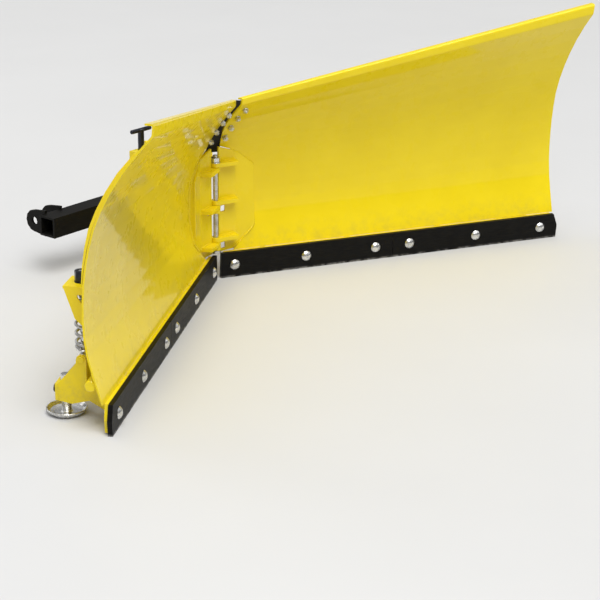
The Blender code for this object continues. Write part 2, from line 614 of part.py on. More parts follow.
def build_centre(colours):
    yellow, black, zinc, steel, dark, _ = colours
    centre = axis_empty("centre_axis", (0, HINGE_Y, 0))
    place("centre_frame", centre_frame(), yellow, centre)
    place("push_beam", push_beam(), black, centre)
    place("hinge_pin", hinge_pin(), zinc, centre)
    hole = [circle((0, 0), PIN_HOLE, 16)]
    place("hinge_washer", prism(circle((0, 0), 0.0100, 16), 0.2323, 0.2338, hole), zinc, centre)
    place("hinge_nut", prism(hexagon((0, 0), 0.0170), 0.2341, 0.2430, hole), steel, centre)
    lock_at = (SECTOR_RADIUS * cos(LOCK_ANGLE), SECTOR_RADIUS * sin(LOCK_ANGLE), 0)
    for word, side in SIDES.items():
        carrier = axis_empty(f"lock_{word}_axis", (side * lock_at[0], lock_at[1], 0), centre)
        place(f"lock_pin_{word}", lock_pin(), dark, carrier, lock_at, side)
        spring = coil(lock_at, 0.0078, 0.0010, LOCK_COLLAR + 0.0043, STRAP_TOP[0] - GAP, 3.5)
        place(f"lock_spring_{word}", spring, dark, carrier, lock_at, side)


def main():
    for item in list(bpy.data.objects):
        bpy.data.objects.remove(item, do_unlink=True)
    colours = (
        paint("yellow_paint", (0.84, 0.62, 0.02), 0.25),
        paint("black_paint", (0.015, 0.014, 0.012), 0.45),
        paint("zinc", (0.62, 0.62, 0.60), 0.32, 1.0),
        paint("spring_steel", (0.42, 0.42, 0.42), 0.35, 1.0),
        paint("black_oxide", (0.03, 0.03, 0.04), 0.40, 0.8),
        paint("rubber", (0.012, 0.012, 0.012), 0.80),
    )
    for word, side in SIDES.items():
        build_wing(word, side, colours)
    build_centre(colours)


main()
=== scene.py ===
"""Looks of a two-wing snow plough blade for a quad bike: fine surfaces, finishes, light and camera."""
import json
from math import asin, cos, pi, radians, sin, sqrt, tan

import bmesh
import bpy
from mathutils import Matrix, Vector
from mathutils.geometry import tessellate_polygon


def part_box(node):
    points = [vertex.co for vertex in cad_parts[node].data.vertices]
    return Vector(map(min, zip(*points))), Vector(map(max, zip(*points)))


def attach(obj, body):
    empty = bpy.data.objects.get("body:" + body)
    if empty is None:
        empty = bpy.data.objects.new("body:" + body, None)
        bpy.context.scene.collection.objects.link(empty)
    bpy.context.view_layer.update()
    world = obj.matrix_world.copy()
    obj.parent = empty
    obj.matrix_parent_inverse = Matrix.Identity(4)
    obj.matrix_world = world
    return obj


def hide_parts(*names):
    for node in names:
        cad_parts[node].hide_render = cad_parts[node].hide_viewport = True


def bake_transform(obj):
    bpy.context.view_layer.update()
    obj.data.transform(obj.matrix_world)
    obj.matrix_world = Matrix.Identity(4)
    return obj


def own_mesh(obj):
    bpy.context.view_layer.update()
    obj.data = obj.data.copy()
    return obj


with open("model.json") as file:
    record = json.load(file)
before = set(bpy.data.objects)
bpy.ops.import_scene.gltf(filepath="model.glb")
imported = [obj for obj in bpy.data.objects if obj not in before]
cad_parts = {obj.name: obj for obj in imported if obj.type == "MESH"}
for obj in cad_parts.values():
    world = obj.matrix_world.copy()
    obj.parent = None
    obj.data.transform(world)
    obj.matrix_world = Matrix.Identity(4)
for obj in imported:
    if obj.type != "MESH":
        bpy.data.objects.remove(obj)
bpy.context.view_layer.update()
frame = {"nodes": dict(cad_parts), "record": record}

# Driving dimensions, metres. Each wing is built in its own axes: x along it, y to the rear, z up.
SCOOP_ANGLE = radians(29)
WING_LENGTH = 0.750
GAP = 0.0003

STRIP_FRONT = -0.004
BOLT_X = (0.0375, 0.1875, 0.3375, 0.4125, 0.5625, 0.7125)
BOLT_Z = 0.0245
BOLT_RADIUS = 0.0040
BOLT_HEAD_RADIUS = 0.0103
BOLT_DOME_RADIUS, BOLT_DOME_DROP = 0.01255, 0.00717
M8_FLATS = 0.013
BAR_BACK = 0.0105

BOARD_THICK = 0.003
BOARD_BOTTOM_Y, BOARD_BOTTOM_Z = 0.0105, 0.0505
BEND_Z = 0.072
SEAM_Y, SEAM_Z = 0.0235, 0.0965
DEEPEST_Y, DEEPEST_Z = 0.0365, 0.185
BOARD_TOP = 0.4795
LOWER_CURVE, UPPER_CURVE, UPPER_TWIST = 1.66, 0.70, 1.95
BOARD_BENDS = 13
INNER_SCALE = 0.649
TOP_LEAN, LEAN_FROM = 0.048, 0.34
BOARD_END_X = 0.748
END_FLARE, FLARE_Z = 0.065, 0.30
MITRE_X = 0.009
BOARD_INNER_X = 0.0145
BEND_REACH = 0.0022           # half width of the rounded stretch at each bend

PLATE_FRONT, PLATE_BACK = 0.019, 0.024
PLATE_FOLD_X = 0.047
PLATE_EDGE_X, PLATE_EDGE_Y = 0.0087, 0.0052
PIN_RADIUS, PIN_HOLE, EYE_RADIUS = 0.005, 0.0053, 0.0095
PLATE_EDGE = (                  # where the plate meets the sheet, from the bottom to the top, as (x, z)
    (0.0405, 0.0515), (0.0688, 0.0764), (0.0860, 0.0940), (0.0855, 0.2150),
    (0.0712, 0.2270), (0.0560, 0.2390), (0.0367, 0.2506))
PLATE_SEAT = (                  # opening of the sheet round the plate
    (-0.020, 0.040), (0.0283, 0.040), (0.0693, 0.0760), (0.0866, 0.0937), (0.0861, 0.2153),
    (0.0716, 0.2276), (0.0563, 0.2396), (0.0370, 0.2512), (-0.020, 0.2720))
TONGUE_WAY = ((-0.020, 0.040), (0.0360, 0.040), (0.0360, 0.2500), (-0.020, 0.2500))
NOTCH_REACH = 0.0225            # notches of the plate for the centre frame's tongues
NOTCHES = ((0.1310, 0.1430), (0.0570, 0.0690))
PIN_FLATS = 0.017
LUG_THICK = 0.008
LUG_TOPS = (0.232, 0.158, 0.084)
LEFT_LUG_DROP = 0.0085

LOWER_BAR_Y, LOWER_BAR_Z, LOWER_BAR_RADIUS = 0.0318, 0.078, 0.009
TRIP_Y, TRIP_Z, TRIP_HEAD = 0.0235, 0.0575, 0.007
PIVOT_HOLE = 0.0043
EAR_X = (0.100, 0.280, 0.480)
EAR_THICK = 0.008
SKID_X, SKID_Y = 0.673, 0.093
LEVER_OUT = 0.0165
EYE_Y, EYE_Z = 0.062, 0.0985
BOX_HALF, BOX_TOP = 0.0248, 0.2222
SPRING_SEAT_Z = 0.1120
SPRING_TOP_Z = BOX_TOP - 0.0044

SECTOR_RADIUS = 0.140
LOCK_ANGLE = radians(53)
WING_RANGE = radians(50)
SECTOR_Z = {1: 0.175, -1: 0.163}
SECTOR_THICK = 0.006
RIB_X = (0.1850, 0.4200)
RIB_THICK = 0.005
RIB_ROWS = slice(2, 15)          # bends of the sheet that a rib follows

FLAP_BOLTS = ((0.0480, 0.3393), (0.0377, 0.3211), (0.0295, 0.3004), (0.0217, 0.2787))
CURTAIN_BOTTOM, CURTAIN_FOOT, CURTAIN_TOP = 0.2460, 0.266, 0.3590
CURTAIN_REACH, FOOT_REACH = 0.035, 0.002      # how far the rubber goes behind the sheet
CURTAIN_THICK = 0.0032
FOLD_DEPTH = 0.010

FLOOR_HALF, FLOOR_Z = 12.0, -0.0002
ROOM_BRIGHTNESS = 0.85
ROOM_GREYS = ((0.0, 0.30), (0.48, 0.30), (0.53, 0.16), (0.66, 0.26), (0.82, 0.75), (1.0, 0.85))
SOFT_BOXES = (                  # name, place, target, width, watts
    ("key", (-1.8, -1.9, 2.6), (0.15, 0.0, 0.2), 1.2, 18),
    ("fill", (2.2, -1.9, 1.4), (0.0, 0.0, 0.25), 1.2, 4),
    ("rim", (-0.8, 2.8, 2.0), (0.0, 0.0, 0.25), 1.6, 12),
)
SUN_STRENGTH, SUN_SPREAD = 2.3, radians(40)
SUN_DIRECTION = (0.18, 0.42, -1.0)
CAMERA_X, CAMERA_FROM_HINGE, CAMERA_Z = -2.3644, -2.1073, 1.1137
CAMERA_YAW, CAMERA_PITCH, CAMERA_ROLL = radians(51.24), radians(20.10), radians(0.493)
CAMERA_LENS, SENSOR_WIDTH = 103.6, 36.0

SIDES = {"right": 1, "left": -1}
PLANES = {
    "XY": lambda a, b, t: (a, b, t),
    "YZ": lambda a, b, t: (t, a, b),
    "XZ": lambda a, b, t: (a, t, b),
}
TURNS = {"Z": Matrix(), "X": Matrix.Rotation(pi / 2, 4, "Y"), "Y": Matrix.Rotation(-pi / 2, 4, "X")}
SHARP = radians(32)             # edges sharper than this are rounded
pin_low, pin_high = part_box("hinge_pin")
HINGE_Y = (pin_low[1] + pin_high[1]) / 2
LOCK_AT = (SECTOR_RADIUS * cos(LOCK_ANGLE), SECTOR_RADIUS * sin(LOCK_ANGLE))


# ---------------------------------------------------------------- shader helpers

class Shader:
    """Small helper that adds nodes to one Principled material."""

    def __init__(self, name, **sockets):
        self.material = bpy.data.materials.new(name)
        self.material.use_nodes = True
        self.tree = self.material.node_tree
        self.principled = self.tree.nodes["Principled BSDF"]
        for socket, value in sockets.items():
            self.principled.inputs[socket.replace("_", " ")].default_value = value
        self.place = self.node("ShaderNodeTexCoord").outputs["Object"]

    def node(self, kind, inputs=None, **settings):
        made = self.tree.nodes.new(kind)
        for key, value in settings.items():
            setattr(made, key, value)
        for key, value in (inputs or {}).items():
            if isinstance(value, bpy.types.NodeSocket):
                self.tree.links.new(value, made.inputs[key])
            else:
                made.inputs[key].default_value = value
        return made

    def link(self, source, socket):
        self.tree.links.new(source, self.principled.inputs[socket])

    def noise(self, scale, detail=3.0, roughness=0.55, stretch=(1, 1, 1)):
        mapped = self.node("ShaderNodeMapping", {"Vector": self.place, "Scale": stretch}).outputs["Vector"]
        made = self.node("ShaderNodeTexNoise", {
            "Vector": mapped, "Scale": scale, "Detail": detail, "Roughness": roughness})
        return made.outputs["Fac"]

    def ramp(self, value, low, high, out_low, out_high):
        """Value between low and high, mapped to out_low..out_high and held outside."""
        made = self.node("ShaderNodeMapRange", {
            "Value": value, "From Min": low, "From Max": high, "To Min": out_low, "To Max": out_high})
        return made.outputs["Result"]

    def multiply(self, a, b):
        return self.node("ShaderNodeMath", {0: a, 1: b}, operation="MULTIPLY").outputs[0]

    def mix(self, factor, first, second):
        """Colour between two others, each a colour or a socket."""
        ends = [value if isinstance(value, bpy.types.NodeSocket) else (*value, 1)
                for value in (first, second)]
        made = self.node("ShaderNodeMix", {0: factor, 6: ends[0], 7: ends[1]}, data_type="RGBA")
        return made.outputs[2]

    def edge(self, radius):
        """1 along outer edges, 0 on flat stretches."""
        bevel = self.node("ShaderNodeBevel", {"Radius": radius}, samples=4)
        normal = self.node("ShaderNodeNewGeometry").outputs["Normal"]
        dot = self.node("ShaderNodeVectorMath", {0: bevel.outputs["Normal"], 1: normal},
                        operation="DOT_PRODUCT").outputs["Value"]
        return self.ramp(dot, 0.995, 0.90, 0.0, 1.0)

    def height(self):
        """Height of the shaded point in its piece's own axes."""
        return self.node("ShaderNodeSeparateXYZ", {0: self.place}).outputs["Z"]

    def bump(self, *layers):
        """Stack of (height, strength, distance) bumps."""
        normal = None
        for height, strength, distance in layers:
            inputs = {"Height": height, "Strength": strength, "Distance": distance}
            if normal is not None:
                inputs["Normal"] = normal
            normal = self.node("ShaderNodeBump", inputs).outputs["Normal"]
        self.link(normal, "Normal")


def yellow_powder_coat():
    """Glossy powder coat: slight waves and thickness changes, and dried dirt low down."""
    s = Shader("yellow_powder_coat", Coat_Weight=0.46, Coat_Roughness=0.012, IOR=1.5,
               Specular_IOR_Level=0.12)
    cloud = s.ramp(s.noise(9, 4), 0.35, 0.65, 0.0, 1.0)
    tone = s.mix(cloud, (0.840, 0.645, 0.007), (0.875, 0.680, 0.010))
    speck = s.ramp(s.noise(260, 2), 0.69, 0.76, 0.0, 0.04)
    tone = s.mix(speck, tone, (0.62, 0.40, 0.006))
    low_down = s.ramp(s.height(), 0.10, 0.045, 0.0, 0.35)
    dirt = s.multiply(low_down, s.ramp(s.noise(48, 5, 0.65), 0.45, 0.70, 0.0, 1.0))
    s.link(s.mix(dirt, tone, (0.40, 0.31, 0.09)), "Base Color")
    s.link(s.ramp(s.noise(30, 4), 0.3, 0.7, 0.24, 0.34), "Roughness")
    s.bump((s.noise(6, 0), 0.10, 0.0004), (s.noise(620, 2), 0.02, 0.0001))
    return s.material


def black_strip_paint():
    """Satin black on rolled steel: long drag marks, and bare metal starting at the cutting edge."""
    s = Shader("black_strip_paint", IOR=1.48, Specular_IOR_Level=0.10)
    drag = s.noise(55, 3, 0.6, (1, 1, 14))
    worn_edge = s.ramp(s.height(), 0.0045, 0.0010, 0.0, 1.0)
    bare = s.multiply(worn_edge, s.ramp(s.noise(70, 4, 0.7), 0.42, 0.60, 0.0, 1.0))
    tone = s.mix(s.ramp(drag, 0.4, 0.7, 0.0, 1.0), (0.0045, 0.0042, 0.0038), (0.011, 0.0105, 0.009))
    chips = s.multiply(s.edge(0.0009), s.ramp(s.noise(130, 3), 0.56, 0.64, 0.0, 0.8))
    tone = s.mix(chips, tone, (0.10, 0.095, 0.085))
    s.link(s.mix(bare, tone, (0.27, 0.26, 0.24)), "Base Color")
    s.link(s.multiply(bare, 0.8), "Metallic")
    s.link(s.ramp(drag, 0.3, 0.7, 0.36, 0.52), "Roughness")
    s.bump((drag, 0.25, 0.0006), (s.noise(900, 2), 0.20, 0.00025))
    return s.material


def zinc_plate():
    """Bright zinc: faint crystal patches, fine rolling marks and patchy dullness."""
    s = Shader("zinc_plate", Metallic=1.0)
    patch = s.node("ShaderNodeTexVoronoi", {"Vector": s.place, "Scale": 210.0}).outputs["Color"]
    value = s.node("ShaderNodeRGBToBW", {0: patch}).outputs[0]
    s.link(s.mix(s.ramp(value, 0.2, 0.8, 0.0, 1.0), (0.60, 0.60, 0.585), (0.78, 0.78, 0.765)),
           "Base Color")
    s.link(s.ramp(s.noise(160, 4), 0.3, 0.7, 0.20, 0.38), "Roughness")
    s.bump((s.noise(480, 3), 0.18, 0.0002))
    return s.material


def spring_wire():
    """Drawn spring steel with a dull zinc flash."""
    s = Shader("spring_wire", Metallic=1.0)
    stain = s.ramp(s.noise(75, 5, 0.65), 0.45, 0.70, 0.0, 1.0)
    s.link(s.mix(stain, (0.58, 0.58, 0.57), (0.36, 0.345, 0.32)), "Base Color")
    s.link(s.ramp(s.noise(220, 3), 0.3, 0.7, 0.24, 0.42), "Roughness")
    s.bump((s.noise(700, 2), 0.22, 0.0002))
    return s.material


def black_oxide():
    """Blue-black oxide on fasteners, rubbed bright on corners."""
    s = Shader("black_oxide", Metallic=0.85)
    cloud = s.ramp(s.noise(120, 4), 0.35, 0.65, 0.0, 1.0)
    tone = s.mix(cloud, (0.020, 0.022, 0.032), (0.045, 0.048, 0.060))
    rub = s.multiply(s.edge(0.0006), s.ramp(s.noise(300, 2), 0.45, 0.6, 0.0, 0.6))
    s.link(s.mix(rub, tone, (0.22, 0.22, 0.23)), "Base Color")
    s.link(s.ramp(s.noise(260, 3), 0.3, 0.7, 0.30, 0.46), "Roughness")
    s.bump((s.noise(650, 2), 0.20, 0.0002))
    return s.material


def curtain_rubber():
    """Matt ply rubber with a fine fabric print and greyed patches."""
    s = Shader("curtain_rubber", IOR=1.45)
    bloom = s.ramp(s.noise(60, 5, 0.6), 0.45, 0.75, 0.0, 1.0)
    s.link(s.mix(bloom, (0.0085, 0.0085, 0.0085), (0.022, 0.022, 0.021)), "Base Color")
    s.link(s.ramp(s.noise(90, 3), 0.3, 0.7, 0.62, 0.82), "Roughness")
    weave = s.node("ShaderNodeTexWave", {"Vector": s.place, "Scale": 260.0, "Distortion": 0.6},
                   bands_direction="Z").outputs["Fac"]
    s.bump((weave, 0.25, 0.0003), (s.noise(500, 3), 0.3, 0.0003))
    return s.material


def pale_floor():
    """Pale studio floor, faintly clouded."""
    s = Shader("pale_floor", Roughness=0.6)
    s.link(s.mix(s.noise(3, 3), (0.60, 0.60, 0.597), (0.63, 0.63, 0.627)), "Base Color")
    s.bump((s.noise(240, 2), 0.05, 0.0003))
    return s.material


FINISH = {
    "yellow_paint": yellow_powder_coat(),
    "black_paint": black_strip_paint(),
    "zinc": zinc_plate(),
    "spring_steel": spring_wire(),
    "black_oxide": black_oxide(),
    "rubber": curtain_rubber(),
}


# ---------------------------------------------------------------- mesh helpers

def arc(centre, radius, start, end, steps):
    """Points on an arc, angles in degrees."""
    turn = [radians(start + (end - start) * i / steps) for i in range(steps + 1)]
    return [(centre[0] + radius * cos(a), centre[1] + radius * sin(a)) for a in turn]


def circle(centre, radius, sides=40):
    return arc(centre, radius, 0, 360, sides)[:-1]


def recalculate(bm):
    bmesh.ops.recalc_face_normals(bm, faces=bm.faces)
    return bm


def soften(bm, width, segments=2):
    """Merge flat triangles, then round every sharp edge by width."""
    bmesh.ops.dissolve_limit(bm, angle_limit=radians(0.5), verts=bm.verts, edges=bm.edges)
    sharp = [edge for edge in bm.edges if edge.is_manifold and edge.calc_face_angle() > SHARP]
    bmesh.ops.bevel(bm, geom=sharp, offset=width, segments=segments, profile=0.5, affect="EDGES",
                    clamp_overlap=True)
    return recalculate(bm)


def prism(outline, low, high, holes=(), plane="XY", edge=0.0006):
    """Plate from an outline with holes, its edges rounded."""
    put = PLANES[plane]
    loops = [outline, *holes]
    bm = bmesh.new()
    rings = [[[bm.verts.new(put(a, b, t)) for a, b in loop] for t in (low, high)] for loop in loops]
    triangles = tessellate_polygon([[Vector((a, b, 0)) for a, b in loop] for loop in loops])
    for level in (0, 1):
        verts = [vert for ring in rings for vert in ring[level]]
        for triangle in triangles:
            bm.faces.new([verts[i] for i in triangle])
    for lower, upper in rings:
        for i, vert in enumerate(lower):
            j = (i + 1) % len(lower)
            bm.faces.new((vert, lower[j], upper[j], upper[i]))
    recalculate(bm)
    return soften(bm, edge) if edge else bm


def skin(loops, closed_ring=False):
    """Surface through loops of equally many points; single-point loops close it."""
    bm = bmesh.new()
    rows = [[bm.verts.new(point) for point in loop] for loop in loops]
    count = max(len(row) for row in rows)
    pairs = list(zip(rows, rows[1:]))
    if closed_ring:
        pairs.append((rows[-1], rows[0]))
    for low, high in pairs:
        for i in range(count):
            j = (i + 1) % count
            corners = [low[i % len(low)], low[j % len(low)], high[j % len(high)], high[i % len(high)]]
            bm.faces.new(list(dict.fromkeys(corners)))
    return recalculate(bm)


def close_ends(bm):
    """Fill the open ends of a tube."""
    bmesh.ops.holes_fill(bm, edges=[edge for edge in bm.edges if edge.is_boundary])
    return recalculate(bm)


def stand(centre, axis):
    """Matrix that puts an upright body on an axis through centre."""
    return Matrix.Translation(centre) @ TURNS[axis]


def turned(profile, centre, axis="Z", sides=40, ring=False):
    """Round body from (radius, height) pairs about an axis through centre."""
    move = stand(centre, axis)
    loops = []
    for radius, height in profile:
        points = circle((0, 0), radius, sides) if radius > 0 else [(0, 0)]
        loops.append([move @ Vector((u, v, height)) for u, v in points])
    return skin(loops, ring)


def thread(radius, low, high, centre, axis="Z", pitch=0.00125, sides=24):
    """Threaded stud end: the crest climbs one pitch in each turn, and both ends are chamfered."""
    move = stand(centre, axis)
    depth = 0.6 * pitch
    rows = int((high - low) / pitch * 4)
    loops = [[move @ Vector((0, 0, low))]]
    for row in range(rows + 1):
        height = low + (high - low) * row / rows
        taper = max(0.0, 1 - min(height - low, high - height) / pitch) * depth
        loop = []
        for side in range(sides):
            phase = ((height - low) / pitch - side / sides) % 1
            reach = min(radius - depth * abs(2 * phase - 1), radius - taper)
            angle = 2 * pi * side / sides
            loop.append(move @ Vector((reach * cos(angle), reach * sin(angle), height)))
        loops.append(loop)
    loops.append([move @ Vector((0, 0, high))])
    return skin(loops)


def nut(centre, across_flats, low, high, hole, axis="Z", sides=48):
    """Hexagon nut or head with chamfered corners; hole 0 leaves it solid."""
    move = stand(centre, axis)
    flat = across_flats / 2

    def reach(angle):
        return flat / cos((angle + pi / 6) % (pi / 3) - pi / 6)

    def loop(kind):
        points = []
        for i in range(sides):
            angle = 2 * pi * i / sides
            corner = reach(angle)
            drop = 0.0002 + (corner - flat) * tan(radians(30))
            radius, height = {
                "bottom": (flat * 0.965, low), "lower": (corner, low + drop),
                "upper": (corner, high - drop), "top": (flat * 0.965, high),
                "mouth": (hole + 0.0005, high), "bore": (hole, high - 0.0005),
                "foot": (hole, low),
            }[kind]
            points.append(move @ Vector((radius * cos(angle), radius * sin(angle), height)))
        return points

    sides_out = [loop(kind) for kind in ("bottom", "lower", "upper", "top")]
    if hole:
        return skin(sides_out + [loop(kind) for kind in ("mouth", "bore", "foot")], True)
    return skin([[move @ Vector((0, 0, low))], *sides_out, [move @ Vector((0, 0, high))]])


def coil(centre, radius, wire, bottom, top, turns, steps=40, sides=12, dead=0.8):
    """Spring whose end turns, dead of them at each end, climb at a quarter of the rate."""
    count = int(turns * steps)
    loops = []
    for i in range(count + 1):
        done = turns * i / count
        lead = min(done, dead) * 0.25 + max(0.0, min(done, turns - dead) - dead)
        lead += max(0.0, done - (turns - dead)) * 0.25
        whole = 2 * dead * 0.25 + turns - 2 * dead
        height = bottom + wire + (top - bottom - 2 * wire) * lead / whole
        angle = 2 * pi * done
        ring = []
        for k in range(sides):
            around = 2 * pi * k / sides
            reach = radius + wire * cos(around)
            ring.append((centre[0] + reach * cos(angle), centre[1] + reach * sin(angle),
                         height + wire * sin(around)))
        loops.append(ring)
    return close_ends(skin(loops))


def bead(points, radius, pitch=0.0030, sides=8):
    """Weld bead along a line of points, with the ripples of its passes."""
    route = [Vector(point) for point in points]
    samples = []
    travelled = 0.0
    for a, b in zip(route, route[1:]):
        steps = max(2, int((b - a).length / 0.0011))
        for i in range(steps):
            samples.append((a.lerp(b, i / steps), travelled + (b - a).length * i / steps))
        travelled += (b - a).length
    samples.append((route[-1], travelled))
    loops = []
    for i, (point, along) in enumerate(samples):
        ahead = samples[min(i + 1, len(samples) - 1)][0]
        behind = samples[max(i - 1, 0)][0]
        tangent = (ahead - behind).normalized()
        across = tangent.orthogonal().normalized() if abs(tangent.z) > 0.95 else \
            tangent.cross(Vector((0, 0, 1))).normalized()
        up = tangent.cross(across)
        ripple = 1 + 0.11 * sin(2 * pi * along / pitch) + 0.05 * sin(2 * pi * along / 0.017 + 1.3)
        end = min(1.0, 0.35 + min(along, travelled - along) / (1.5 * radius))
        size = radius * ripple * end
        loops.append([point + across * size * cos(2 * pi * k / sides) + up * size * sin(2 * pi * k / sides)
                      for k in range(sides)])
    loops = [[samples[0][0]], *loops, [samples[-1][0]]]
    return skin(loops)


def join(*parts):
    """One mesh that holds several bodies."""
    whole = bmesh.new()
    for part in parts:
        mesh = bpy.data.meshes.new("part")
        part.to_mesh(mesh)
        part.free()
        whole.from_mesh(mesh)
        bpy.data.meshes.remove(mesh)
    return whole


def wing_matrix(side):
    mirror = Matrix.Scale(side, 4, (1, 0, 0))
    return Matrix.Translation((0, HINGE_Y, 0)) @ Matrix.Rotation(-side * SCOOP_ANGLE, 4, "Z") @ mirror


def centre_matrix(side):
    return Matrix.Translation((0, HINGE_Y, 0)) @ Matrix.Scale(side, 4, (1, 0, 0))


def add(name, bm, slot, body=None, matrix=Matrix(), replaces=(), sharp=35):
    """Finish a mesh as a piece of the object."""
    bmesh.ops.transform(bm, matrix=matrix, verts=bm.verts)
    if matrix.determinant() < 0:
        bmesh.ops.reverse_faces(bm, faces=bm.faces)
    mesh = bpy.data.meshes.new(name)
    bm.to_mesh(mesh)
    bm.free()
    mesh.materials.append(FINISH[slot])
    mesh.shade_smooth()
    mesh.set_sharp_from_angle(angle=radians(sharp))
    piece = bpy.data.objects.new(name, mesh)
    bpy.context.scene.collection.objects.link(piece)
    weighted = piece.modifiers.new("weighted_normals", "WEIGHTED_NORMAL")
    weighted.keep_sharp = True
    weighted.weight = 80
    if body:
        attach(piece, body)
    if replaces:
        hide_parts(*replaces)
    return piece


def refine_cad_nodes():
    """Give each shown CAD node its detailed finish and rounded edges."""
    slots = {part["node"]: part["material_slot"] for part in frame["record"]["subparts"]}
    for name, node in frame["nodes"].items():
        node.data.materials.clear()
        node.data.materials.append(FINISH[slots[name]])
        if node.hide_render:
            continue
        merge = node.modifiers.new("merge_flats", "DECIMATE")
        merge.decimate_type = "DISSOLVE"
        merge.angle_limit = radians(0.6)
        rounded = node.modifiers.new("rounded_edges", "BEVEL")
        rounded.width = 0.0006
        rounded.segments = 2
        rounded.limit_method = "ANGLE"
        rounded.angle_limit = SHARP
        rounded.use_clamp_overlap = True
        weighted = node.modifiers.new("weighted_normals", "WEIGHTED_NORMAL")
        weighted.keep_sharp = True


# ---------------------------------------------------------------- mouldboard

def board_scale(x):
    return INNER_SCALE + (1 - INNER_SCALE) * x / WING_LENGTH


def board_face(x, height):
    """Front face at x, as (y, z), for a height taken at the outer end."""
    if height <= SEAM_Z:
        share = (height - BOARD_BOTTOM_Z) / (SEAM_Z - BOARD_BOTTOM_Z)
        return BOARD_BOTTOM_Y + (SEAM_Y - BOARD_BOTTOM_Y) * share, height
    above = height - DEEPEST_Z
    bulge = LOWER_CURVE * above**2 if above < 0 else UPPER_CURVE * above**2 + UPPER_TWIST * above**3
    scale = board_scale(x)
    lean = TOP_LEAN * max(0.0, height - LEAN_FROM)
    return SEAM_Y + (DEEPEST_Y - bulge - SEAM_Y) * scale - lean, SEAM_Z + (height - SEAM_Z) * scale


def board_section(x):
    """Front and back lines of the bent sheet at x, from the bottom edge over the lip."""
    heights = [BOARD_BOTTOM_Z, BEND_Z]
    heights += [SEAM_Z + (BOARD_TOP - SEAM_Z) * i / BOARD_BENDS for i in range(BOARD_BENDS + 1)]
    front = [board_face(x, height) for height in heights]
    scale = board_scale(x)
    lip = arc((0.0030, 0.0150), 0.0045, 180, 90, 3) + [(0.0125, 0.0195)]
    foot = front[len(heights) - 1]
    front += [(foot[0] + y * scale, foot[1] + z * scale) for y, z in lip]
    return front, offset_line(front, BOARD_THICK)


def offset_line(line, distance):
    """Line at a distance behind another one."""
    back = []
    for i, (y, z) in enumerate(line):
        normals = []
        for a, b in ((i - 1, i), (i, i + 1)):
            if a >= 0 and b < len(line):
                along = Vector((line[b][0] - line[a][0], line[b][1] - line[a][1])).normalized()
                normals.append(Vector((along.y, -along.x)))
        mean = sum(normals, Vector((0, 0)))
        step = distance * len(normals) / mean.length_squared * mean
        back.append((y + step.x, z + step.y))
    return back


def round_bends(line):
    """The same line with each bend drawn as a short curve."""
    smooth = [Vector(line[0])]
    for i in range(1, len(line) - 1):
        before, here, after = (Vector(line[k]) for k in (i - 1, i, i + 1))
        reach_in = min(BEND_REACH, 0.4 * (here - before).length)
        reach_out = min(BEND_REACH, 0.4 * (after - here).length)
        start = here + (before - here).normalized() * reach_in
        end = here + (after - here).normalized() * reach_out
        for t in (0.0, 0.5, 1.0):
            smooth.append(start.lerp(here, t).lerp(here.lerp(end, t), t))
    smooth.append(Vector(line[-1]))
    return smooth


def inner_edge_x(y):
    """Inner end of the sheet where its face is at y: straight at first, then mitred to the centre plane."""
    return max(BOARD_INNER_X, (MITRE_X - y * sin(SCOOP_ANGLE)) / cos(SCOOP_ANGLE))


def mouldboard():
    """Bent sheet with rounded bends, let into around the hinge plate and the tongues."""
    sections = {}

    def section(x, layer, i):
        key = (round(x, 7), layer)
        if key not in sections:
            sections[key] = round_bends(board_section(x)[layer])
        return sections[key][i]

    bm = bmesh.new()
    count = len(round_bends(board_section(WING_LENGTH)[0]))
    columns = 9
    layers = []
    for layer in (0, 1):
        rows = []
        for i in range(count):
            z_end = section(WING_LENGTH, layer, i).y
            start = inner_edge_x(section(BOARD_INNER_X, layer, i).x)
            start = inner_edge_x(section(start, layer, i).x)
            end = BOARD_END_X + END_FLARE * max(0.0, z_end - FLARE_Z)
            row = []
            for column in range(columns):
                x = start + (end - start) * column / (columns - 1)
                y, z = section(x, layer, i)
                row.append(bm.verts.new((x, y, z)))
            rows.append(row)
        layers.append(rows)
    front, back = layers
    for i in range(count - 1):
        for rows in layers:
            for c in range(columns - 1):
                bm.faces.new((rows[i][c], rows[i][c + 1], rows[i + 1][c + 1], rows[i + 1][c]))
        for end in (0, -1):
            bm.faces.new((front[i][end], front[i + 1][end], back[i + 1][end], back[i][end]))
    for i in (0, -1):
        for c in range(columns - 1):
            bm.faces.new((front[i][c], front[i][c + 1], back[i][c + 1], back[i][c]))
    recalculate(bm)
    plate_seat = prism(PLATE_SEAT, -0.030, PLATE_BACK + 2 * GAP, plane="XZ", edge=0)
    tongue_way = prism(TONGUE_WAY, -0.035, 0.060, plane="XZ", edge=0)
    return cut(bm, plate_seat, tongue_way)


def cut(bm, *tools):
    """Boolean difference of meshes, as a new mesh."""
    pieces = []
    for part in (bm, *tools):
        mesh = bpy.data.meshes.new("cut")
        part.to_mesh(mesh)
        part.free()
        piece = bpy.data.objects.new("cut", mesh)
        bpy.context.scene.collection.objects.link(piece)
        pieces.append(piece)
    for tool in pieces[1:]:
        step = pieces[0].modifiers.new("cut", "BOOLEAN")
        step.operation = "DIFFERENCE"
        step.object = tool
    graph = bpy.context.evaluated_depsgraph_get()
    mesh = bpy.data.meshes.new_from_object(pieces[0].evaluated_get(graph))
    result = bmesh.new()
    result.from_mesh(mesh)
    for piece in pieces:
        bpy.data.objects.remove(piece)
    return result


def sheet_y(x, z, layer):
    """Front (layer 0) or rear (layer 1) face of the sheet at x and z."""
    line = board_section(x)[layer]
    for (y1, z1), (y2, z2) in zip(line, line[1:]):
        if z1 <= z <= z2:
            return y1 + (y2 - y1) * (z - z1) / (z2 - z1)
    return line[-1][0]


def front_y(x, z):
    return sheet_y(x, z, 0)


def back_y(x, z):
    return sheet_y(x, z, 1)


